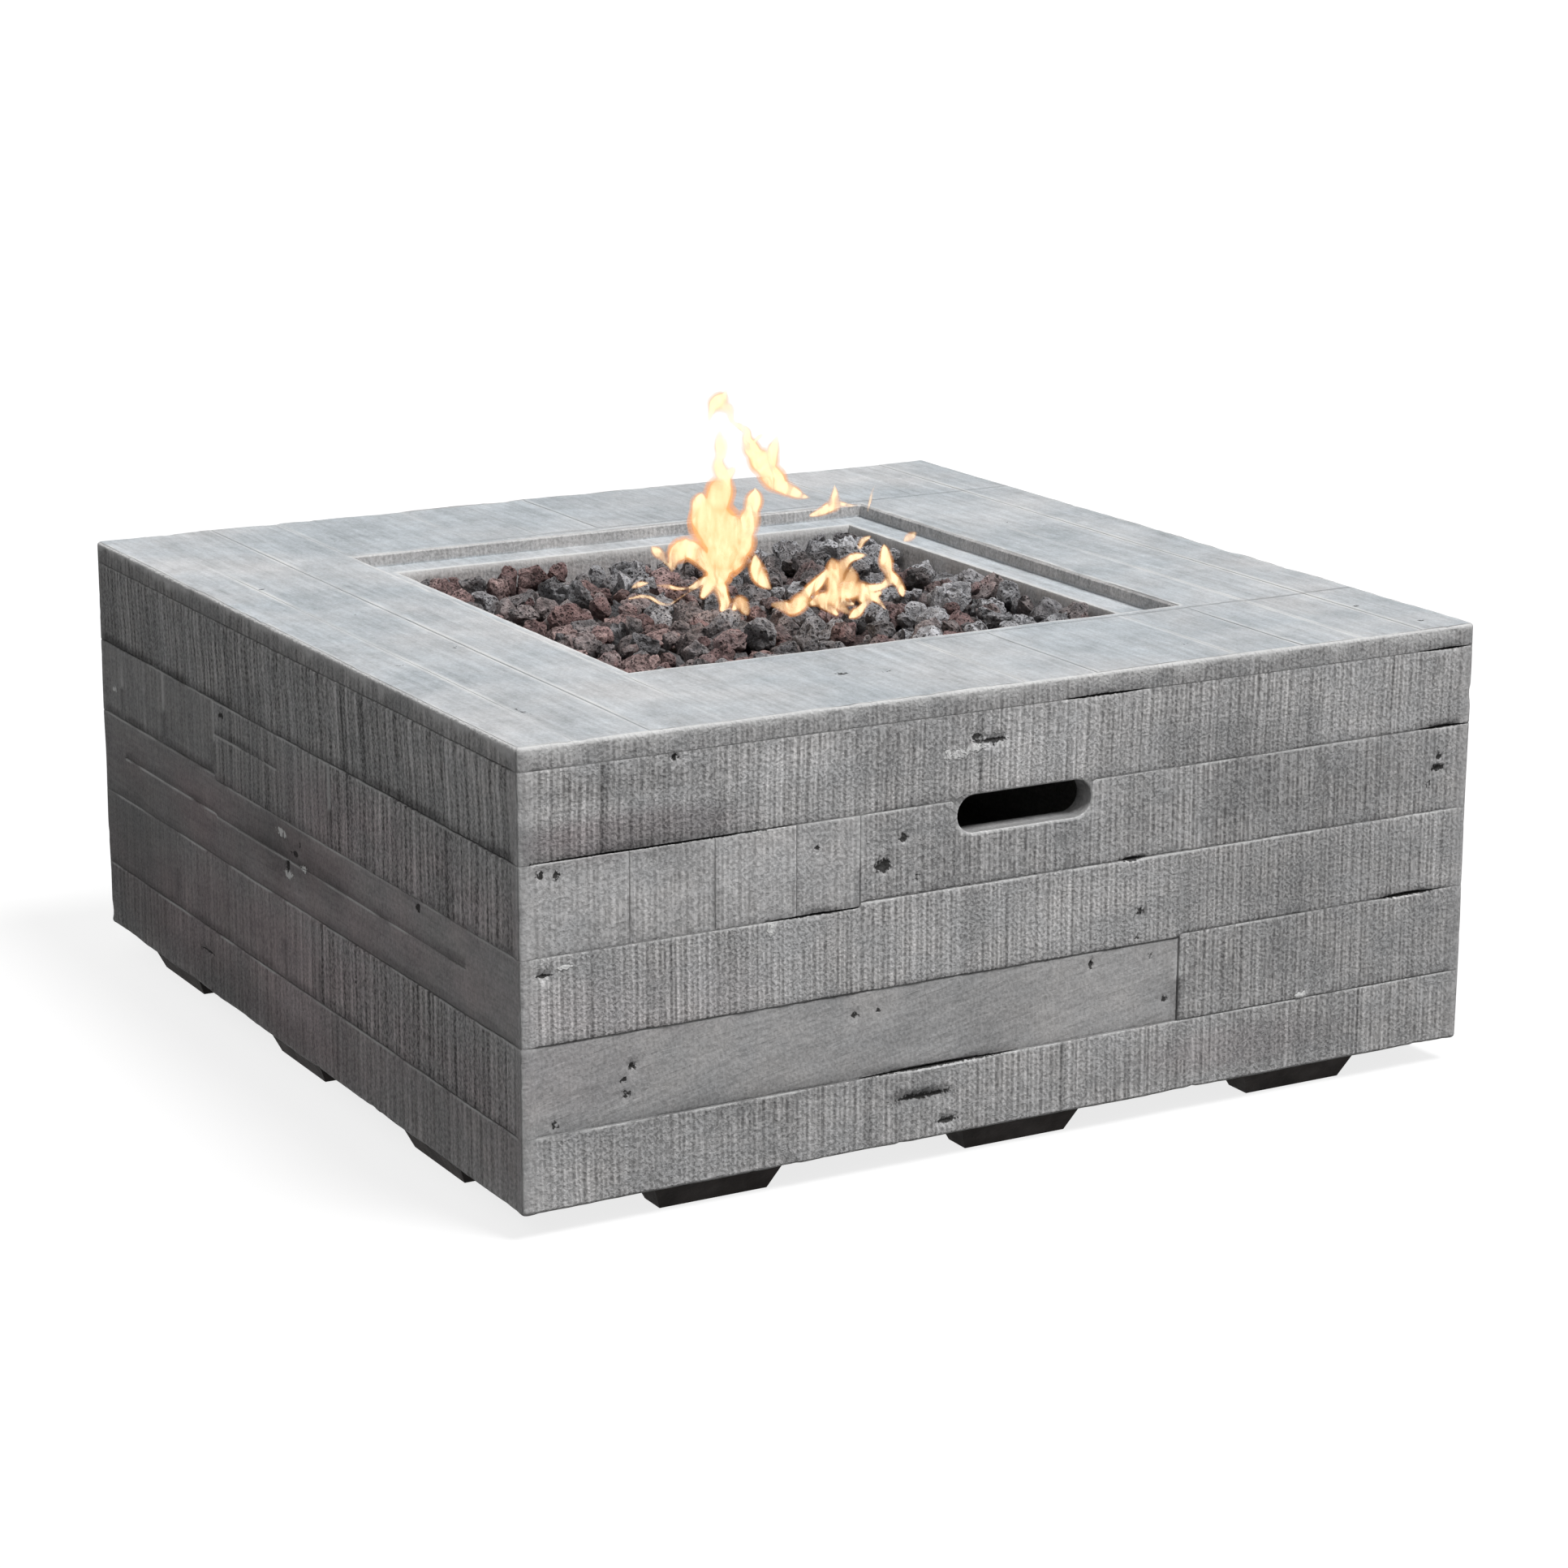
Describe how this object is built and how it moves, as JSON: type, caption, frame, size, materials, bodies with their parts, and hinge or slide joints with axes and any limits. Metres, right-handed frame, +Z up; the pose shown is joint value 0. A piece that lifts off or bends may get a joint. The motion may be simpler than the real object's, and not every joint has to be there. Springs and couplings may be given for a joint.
{
  "type": "gas fire pit",
  "caption": "Low square gas fire table: hollow concrete body marked like timber boards, stepped fire opening filled with lava rock, hand slots, low feet and a push-and-turn gas valve.",
  "frame": {"origin": "on the floor under the middle of the body", "axes": "+Z up, -Y towards the front with a hand slot, +X towards the wall with the controls"},
  "size_m": [0.864, 0.864, 0.374],
  "materials": {
    "concrete": "matte, cast with a rough-sawn board texture, pale worn edges",
    "foot": "matte moulded",
    "steel_screw": "zinc plated",
    "stainless": "brushed stainless sheet",
    "burner_steel": "stainless tube, heat tinted",
    "brass": "machined",
    "aluminium_tube": "satin drawn tube",
    "mixer_iron": "cast, dull",
    "lava": "porous, charcoal to maroon",
    "knob": "satin black",
    "button": "moulded red",
    "igniter_plastic": "moulded black",
    "wire_sleeve": "silicone sleeve",
    "ceramic_white": "unglazed",
    "copper": "drawn copper"
  },
  "bodies": {
    "pit": {"concrete_body": "concrete", "feet": "foot", "foot_screws": "steel_screw", "burner_pan": "stainless", "burner": "burner_steel", "burner_lock_nut": "brass", "lava_rocks": "lava", "well_rocks": "lava", "air_mixer": "mixer_iron", "gas_orifice": "brass", "gas_tube": "aluminium_tube", "tube_nuts": "brass", "valve_body": "brass", "valve_screws": "steel_screw", "inlet_elbow": "brass", "control_plate": "stainless", "plate_screws": "steel_screw", "igniter_body": "igniter_plastic", "igniter_nut": "steel_screw", "ignition_wire": "wire_sleeve", "spark_electrode": "ceramic_white", "thermocouple": "copper", "thermocouple_lead": "copper", "sensor_bracket": "stainless", "bracket_screws": "steel_screw"},
    "sleeve": {"stem_sleeve": "brass"},
    "knob": {"control_knob": "knob", "valve_stem": "steel_screw"},
    "button": {"igniter_button": "button"},
    "shutter": {"air_shutter": "stainless", "shutter_screw": "steel_screw"}
  },
  "joints": [
    {"name": "knob_push", "type": "slide", "parent": "pit", "child": "sleeve", "axis": [-1, 0, 0], "range_m": [0, 0.003], "stiffness_N_per_m": 1500, "springref_m": -0.002},
    {"name": "knob_turn", "type": "hinge", "parent": "sleeve", "child": "knob", "pos_m": [0.41, -0.026, 0.2755], "axis": [1, 0, 0], "range_deg": [0, 180]},
    {"name": "igniter_press", "type": "slide", "parent": "pit", "child": "button", "axis": [-1, 0, 0], "range_m": [0, 0.006], "stiffness_N_per_m": 1200, "springref_m": -0.002},
    {"name": "shutter_turn", "type": "hinge", "parent": "pit", "child": "shutter", "pos_m": [0, 0, 0.2], "axis": [0, 0, 1], "range_deg": [0, 60]}
  ]
}
